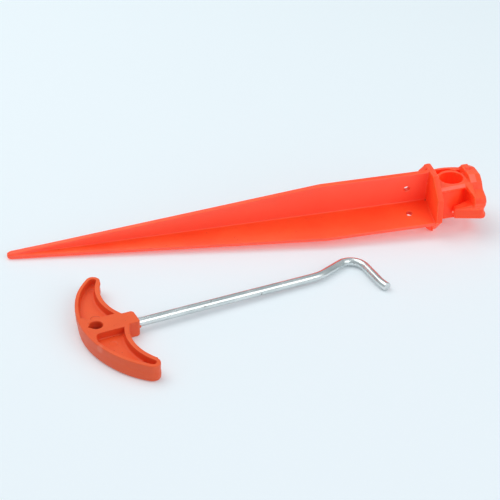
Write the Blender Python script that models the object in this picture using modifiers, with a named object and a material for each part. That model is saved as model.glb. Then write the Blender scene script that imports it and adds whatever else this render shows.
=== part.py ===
# Tent stake with its pull-out hook.
# A one-piece moulded stake (angle-section blade, octagonal stop flange, eyed neck and
# hooked driving cap) lies on a table beside a separate puller: a moulded crescent
# handle fixed on a bent 6 mm wire hook.
# World: metres, +Z up, the table is Z = 0, the stake runs along +X from tip to head.
# Sizes are in millimetres and are scaled by MM where a mesh is made.
import bpy
import bmesh
import math
from mathutils import Matrix, Vector

MM = 0.001

# ---------------------------------------------------------------- layout
FOOTPRINT_MID = (160.095, -63.735)   # from the stake tip, becomes the world origin
STAKE_PITCH = 0.0477                 # rad, the head rests on the flange
TIP_HEIGHT = 3.38                    # inner corner of the blade above the table at the tip
PULLER_AT = (72.6, -92.8)            # from the stake tip
PULLER_YAW = 0.256                   # rad
PULLER_TILT = 0.0168                 # rad, the hook rests on the table
PULLER_LIFT = 0.05

# ---------------------------------------------------------------- stake
# Stake frame: X along the stake, Z up across the head.  The blade opens towards -Y,
# and "across" is measured from its inner corner along -Y.
BLADE_LEN = 286.0        # tip to the stop flange
TAPER_LEN = 210.0        # length of the tapered point
NEAR_TIP = 0.12          # fraction of the taper where the corners reach full heel
LEG_WIDTH = 24.0         # inner width of the lower leg, full section
LEG_HEIGHT = 24.9        # inner height of the upright leg, full section
LEG_TIP = 0.6            # inner width of each leg at the tip
LEG_THICK = 3.4
LEG_TWIST = 12.8         # degrees, angle section turned against the flange flats
TIP_CENTRE = -1.4        # the tip sections shrink towards this point, across and up
CORD_HOLE_R = 2.1        # one small cord hole in each leg
CORD_HOLE_X = 271.0
CORD_HOLE_OUT = 11.5     # from the inner corner

HEAD_ACROSS, HEAD_UP = 4.2, 4.2      # axis of the head, from the inner corner
FLANGE_R = 22.95         # over the corners
FLANGE_THICK = 4.1
FLANGE_FLAT = FLANGE_R * math.cos(math.pi / 8)
GUSSET_RUN = 4.8
GUSSET_THICK = 4.5
GUSSET_INSET = 0.6       # gusset edge inside the flange flat

CAP_START = BLADE_LEN + 25.5         # inner face of the driving cap
CAP_STEP = BLADE_LEN + 30.4          # shoulder of the cap
CAP_FACE = BLADE_LEN + 33.4          # striking face
CAP_FLAT = 18.1                      # half width of the cap over its flats
CAP_OVERLAP = 0.8                    # the end plate starts this far below the shoulder
BOSS_HEIGHT = 0.8
BOSS_R = 13.5
BOSS_TAPER = 1.6

NECK_START = BLADE_LEN + 2.5         # inside the flange
NECK_END = CAP_START + 1.5           # inside the cap
NECK_TOP = 18.0
NECK_BOTTOM = -9.6
NECK_PLATE_THICK = 4.3
EYE_R = 8.1                          # vertical eye through the neck
EYE_X = BLADE_LEN + 16.2
TUBE_R = 9.5

LOOP_POINTS = 9
LOOP_THICK = 2.0
LOOP_BOTTOM = 9.5
LOOP_END_Y = 7.9                     # outer face where the loop meets flange and cap
LOOP_RISE = 1.4

HOOK_TIP_X = BLADE_LEN + 14.4
HOOK_ROOT_X = CAP_START + 2.0
HOOK_TOP = 1.8
HOOK_BOTTOM = -6.0
HOOK_THICK = 4.6

# Edge of the driving cap on the hook side, from the bottom up: (across, up)
CAP_HOOK_SIDE = [
    (20.2, -9.0), (24.2, -5.6), (25.6, -2.6), (25.2, 1.2), (27.0, 4.6),
    (28.0, 8.4), (26.9, 11.2), (21.8, 14.2), (18.4, 19.0),
]

# Corners of the cheek: (x, across, up)
CHEEK_X = BLADE_LEN + 22.0
CHEEK_END_X = CAP_START + 1.0
CHEEK = [
    (CHEEK_X, 12.0, NECK_TOP - 0.1), (CHEEK_X, 15.6, NECK_TOP - 0.1),
    (CHEEK_X, 12.0, NECK_TOP - 3.0), (CHEEK_X, 15.6, NECK_TOP - 3.0),
    (CHEEK_END_X, 12.0, NECK_TOP + 1.0), (CHEEK_END_X, 18.2, NECK_TOP + 0.6),
    (CHEEK_END_X, 12.0, 10.5), (CHEEK_END_X, 20.6, 12.0),
]

# ---------------------------------------------------------------- puller
# Puller frame: X along the wire towards the hook, Y across the handle.
HANDLE_HEIGHT = 11.2
HANDLE_TURN = 1.0                    # degrees, crescent against the wire
GRIP_X, GRIP_R = 32.3, 67.8          # outer arc, centred on the X axis
FINGER_X, FINGER_Y, FINGER_R = 23.6, 24.0, 36.7      # inner arc on the +Y side
HORN_X, HORN_Y, HORN_R = -10.0, 46.3, 4.4            # round end on the +Y side
WALL = 2.4
WEB = 1.8                            # web at mid height, pockets above and below it
RIB_Y = 7.5                          # pocket side next to the boss
RIB_FRONT_X = -11.6
RIB_BACK_X = -29.4
POCKET_R = 3.0                       # corner of the pockets next to the grip arc
POCKET_CORNER_GAP = 2.5              # stretch of grip wall that the corner replaces
HANG_HOLE_R = 4.0
HANG_HOLE_AT = (-26.3, 0.8)
BOSS_BACK_X = -14.0
BOSS_END_X = -0.8
BOSS_HALF = 6.0
BOSS_CHAMFER = 1.0
BOSS_INSET = 0.02                    # boss faces just inside the handle faces
ROD_R = 2.9
ROD_GAP = 0.3
ROD_BACK_X = -20.5
ROD_Z = HANDLE_HEIGHT * 0.5

# Centre line of the wire: ((x, y), bend radius)
WIRE = [
    ((ROD_BACK_X, 0.0), 0.0), ((126.6, 0.4), 27.5), ((151.4, 9.6), 10.0),
    ((160.2, 3.3), 10.0), ((159.4, -22.4), 22.5), ((160.5, -28.1), 0.0),
]
BEND_STEP = 8                        # degrees of bend per wire segment

CUT_PAST = 3.0                       # stake cutters run this far past a surface
HANDLE_CUT_PAST = 2.0                # the same for the handle cutters


# ---------------------------------------------------------------- objects
def collection(name):
    new = bpy.data.collections.new(name)
    bpy.context.scene.collection.children.link(new)
    return new


def material(name, colour, roughness, metallic):
    mat = bpy.data.materials.new(name)
    mat.use_nodes = True
    inputs = mat.node_tree.nodes["Principled BSDF"].inputs
    inputs["Base Color"].default_value = (*colour, 1.0)
    inputs["Roughness"].default_value = roughness
    inputs["Metallic"].default_value = metallic
    return mat


def add_empty(name, matrix):
    empty = bpy.data.objects.new(name, None)
    PARTS.objects.link(empty)
    empty.matrix_world = matrix
    return empty


def add_object(name, mesh, group, parent, local=None):
    ob = bpy.data.objects.new(name, mesh)
    group.objects.link(ob)
    ob.parent = parent
    ob.matrix_parent_inverse = Matrix.Identity(4)
    ob.matrix_basis = local if local is not None else Matrix.Identity(4)
    return ob


def combine(target, operation, mesh, local=None, name=None):
    """Boolean a hidden helper into target; it takes its mesh's name if none is given."""
    helper = add_object(name or mesh.name, mesh, TOOLS, target.parent, local)
    helper.hide_render = True
    helper.display_type = 'WIRE'
    mod = target.modifiers.new(operation.lower() + "_" + helper.name, 'BOOLEAN')
    mod.object = helper
    mod.operation = operation
    mod.solver = 'EXACT'


def join(target, mesh, local=None, name=None):
    combine(target, 'UNION', mesh, local, name)


def cut(target, mesh, local=None, name=None):
    combine(target, 'DIFFERENCE', mesh, local, name)


def smooth(mesh, angle=30.0):
    mesh.shade_smooth()
    mesh.set_sharp_from_angle(angle=math.radians(angle))


# ---------------------------------------------------------------- meshes
# Turns that lay a local Z axis along each frame axis
LOCAL_Z_TO = {
    'X': Matrix(((0, 0, 1, 0), (1, 0, 0, 0), (0, 1, 0, 0), (0, 0, 0, 1))),
    'Y': Matrix.Rotation(math.radians(90), 4, 'X'),
    'Z': Matrix.Identity(4),
}


def along(axis, low, high, at=(0.0, 0.0)):
    """Placement midway between low and high on an axis; at is the other two coordinates."""
    mid = (low + high) * 0.5 * MM
    first, second = at[0] * MM, at[1] * MM
    centre = {'X': (mid, first, second), 'Y': (first, mid, second), 'Z': (first, second, mid)}
    return Matrix.Translation(centre[axis]) @ LOCAL_Z_TO[axis]


def outward(bm):
    bmesh.ops.recalc_face_normals(bm, faces=bm.faces)
    if bm.calc_volume(signed=True) < 0.0:
        bmesh.ops.reverse_faces(bm, faces=bm.faces)


def finish_mesh(name, bm):
    outward(bm)
    mesh = bpy.data.meshes.new(name)
    bm.to_mesh(mesh)
    bm.free()
    return mesh


def clean(mesh):
    bm = bmesh.new()
    bm.from_mesh(mesh)
    bmesh.ops.remove_doubles(bm, verts=bm.verts, dist=0.5e-6)
    outward(bm)
    bm.to_mesh(mesh)
    bm.free()


def curve_to_mesh(curve, points, cyclic):
    """Add one polyline through points (x, y, z) to a curve and convert it to a mesh."""
    spline = curve.splines.new('POLY')
    spline.points.add(len(points) - 1)
    for point, (x, y, z) in zip(spline.points, points):
        point.co = (x * MM, y * MM, z * MM, 1.0)
    spline.use_cyclic_u = cyclic
    temp = bpy.data.objects.new(curve.name, curve)
    TOOLS.objects.link(temp)
    bpy.context.view_layer.update()
    depsgraph = bpy.context.evaluated_depsgraph_get()
    mesh = bpy.data.meshes.new_from_object(temp.evaluated_get(depsgraph))
    bpy.data.objects.remove(temp, do_unlink=True)
    return mesh


def plate_mesh(name, outline, low, high, axis):
    """Closed outline extruded from low to high along an axis.
    Outline columns are the other two axes: (y, z), (x, z) or (x, y)."""
    curve = bpy.data.curves.new(name, 'CURVE')
    curve.dimensions = '2D'
    curve.fill_mode = 'BOTH'
    curve.extrude = (high - low) * 0.5 * MM
    mesh = curve_to_mesh(curve, [(x, y, 0.0) for x, y in outline], cyclic=True)
    mesh.transform(along(axis, low, high))
    clean(mesh)
    return mesh


def cylinder_mesh(name, radius, low, high, axis, at=(0.0, 0.0), segments=40,
                  end_radius=None, turn=0.0):
    """Cylinder or cone from low to high along an axis, turned about it by degrees."""
    end_radius = radius if end_radius is None else end_radius
    bm = bmesh.new()
    bmesh.ops.create_cone(bm, cap_ends=True, segments=segments, radius1=radius * MM,
                          radius2=end_radius * MM, depth=(high - low) * MM)
    bm.transform(along(axis, low, high, at) @ Matrix.Rotation(math.radians(turn), 4, 'Z'))
    return finish_mesh(name, bm)


def box_mesh(name, low, high):
    bm = bmesh.new()
    bmesh.ops.create_cube(bm, size=1.0)
    for vert in bm.verts:
        vert.co = Vector([(low[i] + (high[i] - low[i]) * (vert.co[i] + 0.5)) * MM
                          for i in range(3)])
    return finish_mesh(name, bm)


def stake_vert(bm, x, across, up):
    return bm.verts.new((x * MM, -across * MM, up * MM))


def loft_mesh(name, sections):
    """Skin over sections (x, [(across, up), ...]) with equal numbers of points."""
    bm = bmesh.new()
    rings = [[stake_vert(bm, x, across, up) for across, up in points]
             for x, points in sections]
    for ring, following in zip(rings, rings[1:]):
        for i in range(len(ring)):
            j = (i + 1) % len(ring)
            bm.faces.new((ring[i], ring[j], following[j], following[i]))
    bm.faces.new(rings[0][::-1])
    bm.faces.new(rings[-1])
    return finish_mesh(name, bm)


def hull_mesh(name, points):
    """Convex solid around (x, across, up) points."""
    bm = bmesh.new()
    for point in points:
        stake_vert(bm, *point)
    bmesh.ops.convex_hull(bm, input=bm.verts)
    return finish_mesh(name, bm)


# ---------------------------------------------------------------- stake pieces
def angle_section(width, height, edge=0.7, heel=1.2, fillet=1.0):
    """Angle section as (across, up), inner corner at the origin."""
    thick = LEG_THICK
    soft = edge * 0.6        # smaller edge break on the inner faces
    return [
        (-thick + heel, -thick), (width - edge, -thick), (width, -thick + edge),
        (width, -soft), (width - soft, 0.0), (fillet, 0.0),
        (0.0, fillet), (0.0, height - soft), (-soft, height),
        (-thick + edge, height), (-thick, height - edge), (-thick, -thick + heel),
    ]


def blade_mesh():
    def shrunk(points, factor):
        return [tuple(TIP_CENTRE + (value - TIP_CENTRE) * factor for value in point)
                for point in points]

    tip = angle_section(LEG_TIP, LEG_TIP, edge=0.15, fillet=0.1)
    behind_tip = angle_section(LEG_TIP + 0.2, LEG_TIP + 0.2, edge=0.2, fillet=0.1)
    near_tip = angle_section(LEG_TIP + (LEG_WIDTH - LEG_TIP) * NEAR_TIP,
                             LEG_TIP + (LEG_HEIGHT - LEG_TIP) * NEAR_TIP,
                             edge=0.6, fillet=0.6)
    full = angle_section(LEG_WIDTH, LEG_HEIGHT)
    return loft_mesh("blade", [
        (0.0, shrunk(tip, 0.55)),
        (0.5, shrunk(tip, 0.82)),
        (1.6, behind_tip),
        (TAPER_LEN * NEAR_TIP, near_tip),
        (TAPER_LEN, full),
        (BLADE_LEN + 0.4, full),
    ])


def add_flange(stake):
    join(stake, cylinder_mesh("flange", FLANGE_R, BLADE_LEN, BLADE_LEN + FLANGE_THICK, 'X',
                              at=(-HEAD_ACROSS, HEAD_UP), segments=8, turn=22.5))


def add_gussets(stake):
    """One gusset on the +Y side of the upright leg, one under the lower leg."""
    reach = FLANGE_FLAT - GUSSET_INSET
    # name, height at the leg, height at the flange edge, lowest Y
    for name, root, rim, low_y in (("gusset_up", 19.0, HEAD_UP + reach, 0.5),
                                   ("gusset_low", -4.6, HEAD_UP - reach, -15.6)):
        outline = [(BLADE_LEN - GUSSET_RUN, root), (BLADE_LEN + 1.0, root),
                   (BLADE_LEN + 1.0, rim), (BLADE_LEN - 0.4, rim)]
        join(stake, plate_mesh(name, outline, low_y, low_y + GUSSET_THICK, 'Y'))


def add_neck(stake):
    """Block on the -Y side, tube around the eye, and top plate."""
    join(stake, box_mesh("neck_block", (NECK_START, -13.4, NECK_BOTTOM),
                         (NECK_END, -HEAD_ACROSS + 1.0, NECK_TOP - 1.2)))
    join(stake, cylinder_mesh("neck_tube", TUBE_R, NECK_BOTTOM + 0.7, NECK_TOP - 0.4, 'Z',
                              at=(EYE_X, -HEAD_ACROSS)))
    inner_y = -HEAD_ACROSS + 2.0
    outline = [(NECK_START, -17.6), (NECK_END, -14.6), (NECK_END, inner_y),
               (NECK_START, inner_y)]
    join(stake, plate_mesh("neck_plate", outline, NECK_TOP - NECK_PLATE_THICK, NECK_TOP, 'Z'))


def add_rope_loop(stake):
    """Arched band on the +Y side of the eye, from the flange to the cap."""
    outer = []
    for i in range(LOOP_POINTS):
        f = i / (LOOP_POINTS - 1)
        outer.append((NECK_START + (NECK_END - NECK_START) * f,
                      LOOP_END_Y + LOOP_RISE * (1.0 - (2.0 * f - 1.0) ** 2)))
    inner = [(x, y - LOOP_THICK) for x, y in outer]
    join(stake, plate_mesh("rope_loop", outer + inner[::-1], LOOP_BOTTOM, NECK_TOP - 0.2, 'Z'))


def add_driving_cap(stake):
    """Octagon drawn out on the hook side, a smaller end plate and a round boss."""
    half_side = CAP_FLAT * math.tan(math.pi / 8)
    side = HEAD_ACROSS - CAP_FLAT
    bottom, top = HEAD_UP - CAP_FLAT, HEAD_UP + CAP_FLAT
    across_low, across_high = HEAD_ACROSS - half_side, HEAD_ACROSS + half_side
    up_low, up_high = HEAD_UP - half_side, HEAD_UP + half_side

    # Outlines as (across, up)
    cap = [(side, up_high), (side, up_low),
           (across_low, bottom + 1.2), (across_high - 1.0, bottom + 1.2),
           *CAP_HOOK_SIDE, (12.3, top), (across_low + 0.6, top)]
    end = [(side + 1.6, up_high - 0.8), (side + 1.6, up_low + 0.8),
           (across_low + 0.8, bottom + 1.3), (across_high - 1.2, bottom + 1.3),
           *CAP_HOOK_SIDE, (12.0, top - 0.1), (2.4, top - 0.1), (-4.6, 18.4)]
    for name, outline, low, high in (("driving_cap", cap, CAP_START, CAP_STEP),
                                     ("cap_end", end, CAP_STEP - CAP_OVERLAP, CAP_FACE)):
        join(stake, plate_mesh(name, [(-across, up) for across, up in outline],
                               low, high, 'X'))
    join(stake, cylinder_mesh("striking_boss", BOSS_R, CAP_FACE - 0.5, CAP_FACE + BOSS_HEIGHT,
                              'X', at=(-HEAD_ACROSS, HEAD_UP), segments=32,
                              end_radius=BOSS_R - BOSS_TAPER))


def add_cheek(stake):
    """Ties the cap to the -Y side of the neck above the hook opening."""
    join(stake, hull_mesh("cheek", CHEEK))


def add_rope_hook(stake):
    """Arm reaching back from the cap, open towards the flange."""
    tip_y, root_y = -20.0, -22.6
    outline = [(HOOK_TIP_X, tip_y), (HOOK_TIP_X + 1.2, tip_y + HOOK_THICK),
               (HOOK_ROOT_X, root_y + HOOK_THICK), (HOOK_ROOT_X, -23.3)]
    join(stake, plate_mesh("rope_hook", outline, HOOK_BOTTOM, HOOK_TOP, 'Z'))


def cut_stake_holes(stake, legs):
    cut(stake, cylinder_mesh("eye_cut", EYE_R, NECK_BOTTOM - CUT_PAST, NECK_TOP + CUT_PAST,
                             'Z', at=(EYE_X, -HEAD_ACROSS - 0.5)))
    through = LEG_THICK + CUT_PAST
    cut(stake, cylinder_mesh("cord_hole_up", CORD_HOLE_R, -CUT_PAST, through, 'Y',
                             at=(CORD_HOLE_X, CORD_HOLE_OUT), segments=16), legs)
    cut(stake, cylinder_mesh("cord_hole_low", CORD_HOLE_R, -through, CUT_PAST, 'Z',
                             at=(CORD_HOLE_X, -CORD_HOLE_OUT), segments=16), legs)


def build_stake(frame):
    legs = Matrix.Rotation(math.radians(LEG_TWIST), 4, 'X')
    stake = add_object("stake_body", blade_mesh(), PARTS, frame, legs)
    stake.data.materials.append(material("stake_plastic", colour=(1.0, 0.085, 0.03),
                                         roughness=0.32, metallic=0.0))
    add_flange(stake)
    add_gussets(stake)
    add_neck(stake)
    add_rope_loop(stake)
    add_driving_cap(stake)
    add_cheek(stake)
    add_rope_hook(stake)
    cut_stake_holes(stake, legs)
    smooth(stake.data)


# ---------------------------------------------------------------- puller handle
# The arcs are drawn for the +Y half as (x, y); inset moves them into the handle.
def polar(x, y, radius, angle):
    return (x + radius * math.cos(angle), y + radius * math.sin(angle))


def horn_arc(radius, steps):
    """Round end of the horn, from the grip arc over the point to the finger arc."""
    start = math.atan2(HORN_Y, HORN_X - GRIP_X)
    stop = math.atan2(HORN_Y - FINGER_Y, HORN_X - FINGER_X) - math.pi
    return [polar(HORN_X, HORN_Y, radius, start + (stop - start) * i / steps)
            for i in range(steps + 1)]


def eased_arc(centre, radius, horn_radius, start, stop, inset, steps):
    """Arc whose radius eases from horn_radius at the horn to radius at its other end."""
    points = []
    for i in range(steps + 1):
        f = i / steps
        eased = radius + (horn_radius - radius) * (1 - f) ** 2 - inset
        points.append(polar(*centre, eased, start + (stop - start) * f))
    return points


def grip_arc(inset, steps):
    """Outer arc from the horn to the middle of the handle."""
    horn_radius = math.hypot(HORN_X - GRIP_X, HORN_Y) + HORN_R
    start = math.atan2(HORN_Y, HORN_X - GRIP_X)
    return eased_arc((GRIP_X, 0.0), GRIP_R, horn_radius, start, math.pi, inset, steps)


def finger_arc(inset, steps, stop_y):
    """Inner arc from the horn towards the boss; it would reach stop_y with no inset."""
    horn_radius = math.hypot(HORN_X - FINGER_X, HORN_Y - FINGER_Y) - HORN_R
    start = math.atan2(HORN_Y - FINGER_Y, HORN_X - FINGER_X)
    stop = math.pi + math.asin((FINGER_Y - stop_y) / FINGER_R)
    return eased_arc((FINGER_X, FINGER_Y), FINGER_R, horn_radius, start, stop, -inset, steps)


def mirrored(points):
    return [(x, -y) for x, y in points]


def turned(points):
    angle = math.radians(HANDLE_TURN)
    cos, sin = math.cos(angle), math.sin(angle)
    return [(x * cos - y * sin, x * sin + y * cos) for x, y in points]


def handle_outline():
    grip = grip_arc(0.0, 14)
    horn = horn_arc(HORN_R, 6)
    finger = finger_arc(0.0, 12, BOSS_HALF - 0.4)
    return (mirrored(grip) + grip[::-1][1:] + horn[1:] + finger[1:]
            + mirrored(finger[::-1]) + mirrored(horn[::-1][1:-1]))


def pocket_outline():
    """Pocket in the +Y half, with a rounded corner between the rib and the grip arc."""
    grip = [point for point in grip_arc(WALL, 12) if point[1] > RIB_Y + POCKET_CORNER_GAP]
    horn = horn_arc(HORN_R - WALL, 5)
    finger = [point for point in finger_arc(WALL, 12, RIB_Y) if point[1] > RIB_Y]
    corner = [polar(RIB_BACK_X + POCKET_R, RIB_Y + POCKET_R, POCKET_R,
                    math.radians(-90.0 - 20.0 * i)) for i in range(5)]
    return grip[::-1] + horn[1:-1] + finger + [(RIB_FRONT_X, RIB_Y)] + corner


def add_rod_boss(handle):
    """Boss that carries the wire, with its two end corners chamfered."""
    shoulder_x = BOSS_END_X - BOSS_CHAMFER
    end_half = BOSS_HALF - BOSS_CHAMFER
    outline = [(BOSS_BACK_X, -BOSS_HALF), (shoulder_x, -BOSS_HALF), (BOSS_END_X, -end_half),
               (BOSS_END_X, end_half), (shoulder_x, BOSS_HALF), (BOSS_BACK_X, BOSS_HALF)]
    mesh = plate_mesh("rod_boss", outline, BOSS_INSET, HANDLE_HEIGHT - BOSS_INSET, 'Z')
    join(handle, mesh, name="rod_boss")


def cut_pockets(handle):
    left = pocket_outline()
    for name, outline in (("pocket_left", left), ("pocket_right", mirrored(left))):
        for suffix, low, high in (
                ("", (HANDLE_HEIGHT + WEB) * 0.5, HANDLE_HEIGHT + HANDLE_CUT_PAST),
                ("_under", -HANDLE_CUT_PAST, (HANDLE_HEIGHT - WEB) * 0.5)):
            full_name = name + suffix
            cut(handle, plate_mesh(full_name, turned(outline), low, high, 'Z'),
                name=full_name)


def cut_handle_holes(handle):
    cut(handle, cylinder_mesh("hang_hole", HANG_HOLE_R, -HANDLE_CUT_PAST,
                              HANDLE_HEIGHT + HANDLE_CUT_PAST, 'Z',
                              at=HANG_HOLE_AT, segments=24))
    cut(handle, cylinder_mesh("rod_socket", ROD_R + ROD_GAP, ROD_BACK_X - 0.4,
                              BOSS_END_X + HANDLE_CUT_PAST, 'X', at=(0.0, ROD_Z), segments=24))


def build_handle(frame):
    name = "puller_handle"
    mesh = plate_mesh(name, turned(handle_outline()), 0.0, HANDLE_HEIGHT, 'Z')
    handle = add_object(name, mesh, PARTS, frame)
    mesh.materials.append(material("handle_plastic", colour=(0.85, 0.11, 0.03),
                                   roughness=0.45, metallic=0.0))
    bevel = handle.modifiers.new("edge_break", 'BEVEL')
    bevel.width = 0.5 * MM
    bevel.segments = 1
    bevel.limit_method = 'ANGLE'
    bevel.angle_limit = math.radians(50.0)
    add_rod_boss(handle)
    cut_pockets(handle)
    cut_handle_holes(handle)
    smooth(mesh)


# ---------------------------------------------------------------- bent wire
def bend_points(before, corner, after, radius):
    """Tangent arc at a corner, tightened where a neighbouring straight is too short."""
    to_before, to_after = (before - corner).normalized(), (after - corner).normalized()
    angle = to_before.angle(to_after)
    setback = min(radius / math.tan(angle / 2), 0.49 * (before - corner).length,
                  0.49 * (after - corner).length)
    radius = setback * math.tan(angle / 2)
    centre = corner + (to_before + to_after).normalized() * (radius / math.sin(angle / 2))
    first = corner + to_before * setback - centre
    last = corner + to_after * setback - centre
    sweep = first.angle_signed(last)
    steps = max(2, int(abs(math.degrees(sweep)) / BEND_STEP))
    points = []
    for i in range(steps + 1):
        turn = -sweep * i / steps
        cos, sin = math.cos(turn), math.sin(turn)
        points.append(centre + Vector((first.x * cos - first.y * sin,
                                       first.x * sin + first.y * cos)))
    return points


def wire_points():
    corners = [Vector(at) for at, _ in WIRE]
    points = [corners[0]]
    for i in range(1, len(WIRE) - 1):
        points += bend_points(corners[i - 1], corners[i], corners[i + 1], WIRE[i][1])
    return points + [corners[-1]]


def build_rod(frame):
    name = "puller_hook_rod"
    curve = bpy.data.curves.new(name, 'CURVE')
    curve.dimensions = '3D'
    curve.bevel_depth = ROD_R * MM
    curve.bevel_resolution = 4
    curve.use_fill_caps = True
    mesh = curve_to_mesh(curve, [(x, y, ROD_Z) for x, y in wire_points()], cyclic=False)
    clean(mesh)
    add_object(name, mesh, PARTS, frame)
    mesh.materials.append(material("rod_steel", colour=(0.72, 0.74, 0.74),
                                   roughness=0.25, metallic=1.0))
    smooth(mesh, 40.0)


# ---------------------------------------------------------------- build
def from_tip(x, y, z):
    """Translation to a place given from the stake tip."""
    return Matrix.Translation(((x - FOOTPRINT_MID[0]) * MM, (y - FOOTPRINT_MID[1]) * MM,
                               z * MM))


for ob in list(bpy.data.objects):
    bpy.data.objects.remove(ob, do_unlink=True)

PARTS = collection("tent_stake")
TOOLS = collection("cutters")

stake_frame = add_empty("stake_axis", from_tip(0.0, 0.0, TIP_HEIGHT)
                        @ Matrix.Rotation(-STAKE_PITCH, 4, 'Y'))
puller_frame = add_empty("puller_lift_axis", from_tip(*PULLER_AT, 0.0)
                         @ Matrix.Rotation(PULLER_YAW, 4, 'Z')
                         @ Matrix.Rotation(PULLER_TILT, 4, 'Y')
                         @ Matrix.Translation((0, 0, PULLER_LIFT * MM)))

build_stake(stake_frame)
build_handle(puller_frame)
build_rod(puller_frame)
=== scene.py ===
import math

import bmesh
import bpy
from mathutils import Matrix, Vector, noise


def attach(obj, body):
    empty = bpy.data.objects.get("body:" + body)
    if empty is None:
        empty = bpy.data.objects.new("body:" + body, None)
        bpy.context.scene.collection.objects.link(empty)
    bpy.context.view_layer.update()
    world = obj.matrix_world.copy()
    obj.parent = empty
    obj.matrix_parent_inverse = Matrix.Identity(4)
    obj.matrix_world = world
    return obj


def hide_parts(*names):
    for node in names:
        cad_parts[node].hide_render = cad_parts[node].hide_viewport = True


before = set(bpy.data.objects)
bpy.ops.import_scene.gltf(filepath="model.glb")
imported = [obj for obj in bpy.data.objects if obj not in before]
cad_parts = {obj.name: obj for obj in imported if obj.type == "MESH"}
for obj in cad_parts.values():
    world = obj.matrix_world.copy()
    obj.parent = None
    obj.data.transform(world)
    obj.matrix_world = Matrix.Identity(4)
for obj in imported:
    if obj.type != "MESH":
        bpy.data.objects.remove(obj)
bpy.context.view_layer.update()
MM = 0.001
scene = bpy.context.scene


# ------------------------------------------------------------------ where the pieces lie
def shift(x, y, z):
    return Matrix.Translation((x * MM, y * MM, z * MM))


ORIGIN_X, ORIGIN_Y = 160.095, -63.735       # the scene's origin, seen from the stake tip
STAKE_LIFT, STAKE_TILT = 3.38, -0.0477      # mm, and radians about Y: the head is raised
GRIP_X, GRIP_Y, GRIP_LIFT = 72.6, -92.8, 0.05
PULLER_TURN, PULLER_TILT = 0.256, 0.0168    # radians about Z and about Y

STAKE_M = shift(-ORIGIN_X, -ORIGIN_Y, STAKE_LIFT) @ Matrix.Rotation(STAKE_TILT, 4, 'Y')
PULLER_M = (shift(GRIP_X - ORIGIN_X, GRIP_Y - ORIGIN_Y, 0.0)
            @ Matrix.Rotation(PULLER_TURN, 4, 'Z')
            @ Matrix.Rotation(PULLER_TILT, 4, 'Y')
            @ shift(0, 0, GRIP_LIFT))


# ------------------------------------------------------------------ mesh helpers
def add_object(name, data):
    ob = bpy.data.objects.new(name, data)
    scene.collection.objects.link(ob)
    return ob


def solid(bm, name, matrix=None):
    """Turns a closed bmesh into a mesh whose normals point outward."""
    if matrix is not None:
        bm.transform(matrix)
    bmesh.ops.recalc_face_normals(bm, faces=bm.faces)
    if bm.calc_volume(signed=True) < 0.0:
        bmesh.ops.reverse_faces(bm, faces=bm.faces)
    me = bpy.data.meshes.new(name)
    bm.to_mesh(me)
    bm.free()
    return me


def skin(bm, rings):
    """Faces between neighbouring rings of verts, and a cap on each end."""
    count = len(rings[0])
    for a, b in zip(rings, rings[1:]):
        for i in range(count):
            j = (i + 1) % count
            bm.faces.new((a[i], a[j], b[j], b[i]))
    bm.faces.new(rings[0][::-1])
    bm.faces.new(rings[-1])


def loft(name, rings, matrix=None):
    """Closed skin over rings of the same number of (x, y, z) points."""
    bm = bmesh.new()
    skin(bm, [[bm.verts.new((x * MM, y * MM, z * MM)) for x, y, z in ring] for ring in rings])
    return solid(bm, name, matrix)


def across(name, steps, start=0.0, matrix=None):
    """Loft along the stake: steps of (s from the start, [(u, v), ...])."""
    return loft(name, [[(start + s, -u, v) for u, v in pts] for s, pts in steps], matrix)


def upward(name, steps):
    """Loft along Z: steps of (z, [(x, y), ...])."""
    return loft(name, [[(x, y, z) for x, y in pts] for z, pts in steps])


def head_hull(name, pts):
    """Convex hull of (s, u, v) points, s counted from the start of the head."""
    bm = bmesh.new()
    for s, u, v in pts:
        bm.verts.new(((HEAD + s) * MM, -u * MM, v * MM))
    bmesh.ops.convex_hull(bm, input=bm.verts)
    return solid(bm, name)


def round_bar(name, radius, start, end, segments=48, end_radius=None, matrix=None):
    """Cylinder or cone between two (x, y, z) points."""
    start, end = Vector(start), Vector(end)
    if end_radius is None:
        end_radius = radius
    bm = bmesh.new()
    bmesh.ops.create_cone(bm, cap_ends=True, segments=segments, radius1=radius * MM,
                          radius2=end_radius * MM, depth=(end - start).length * MM)
    turn = (end - start).to_track_quat('Z', 'Y').to_matrix().to_4x4()
    placed = Matrix.Translation((start + end) * 0.5 * MM) @ turn
    return solid(bm, name, placed if matrix is None else matrix @ placed)


def ball(name, radius, at, squash):
    bm = bmesh.new()
    bmesh.ops.create_icosphere(bm, subdivisions=4, radius=radius * MM)
    return solid(bm, name, Matrix.Translation(Vector(at) * MM) @ Matrix.Diagonal((*squash, 1)))


def scaled(pts, factor, centre):
    cx, cy = centre
    return [(cx + (x - cx) * factor, cy + (y - cy) * factor) for x, y in pts]


def evenly(points, spans=None):
    """Open 2D line cut into equal spans, of about 1 mm if no number is given."""
    points = [Vector(p) for p in points]
    lengths = [(b - a).length for a, b in zip(points, points[1:])]
    total = sum(lengths)
    if spans is None:
        spans = int(total)
    out, i, passed = [], 0, 0.0
    for j in range(spans + 1):
        target = total * j / spans
        while i < len(lengths) - 1 and passed + lengths[i] < target:
            passed += lengths[i]
            i += 1
        part = (target - passed) / lengths[i] if lengths[i] > 0 else 0.0
        out.append(points[i].lerp(points[i + 1], part))
    return out


def baked(ob):
    """Mesh of the object with its modifiers applied."""
    bpy.context.view_layer.update()
    graph = bpy.context.evaluated_depsgraph_get()
    return bpy.data.meshes.new_from_object(ob.evaluated_get(graph))


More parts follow.
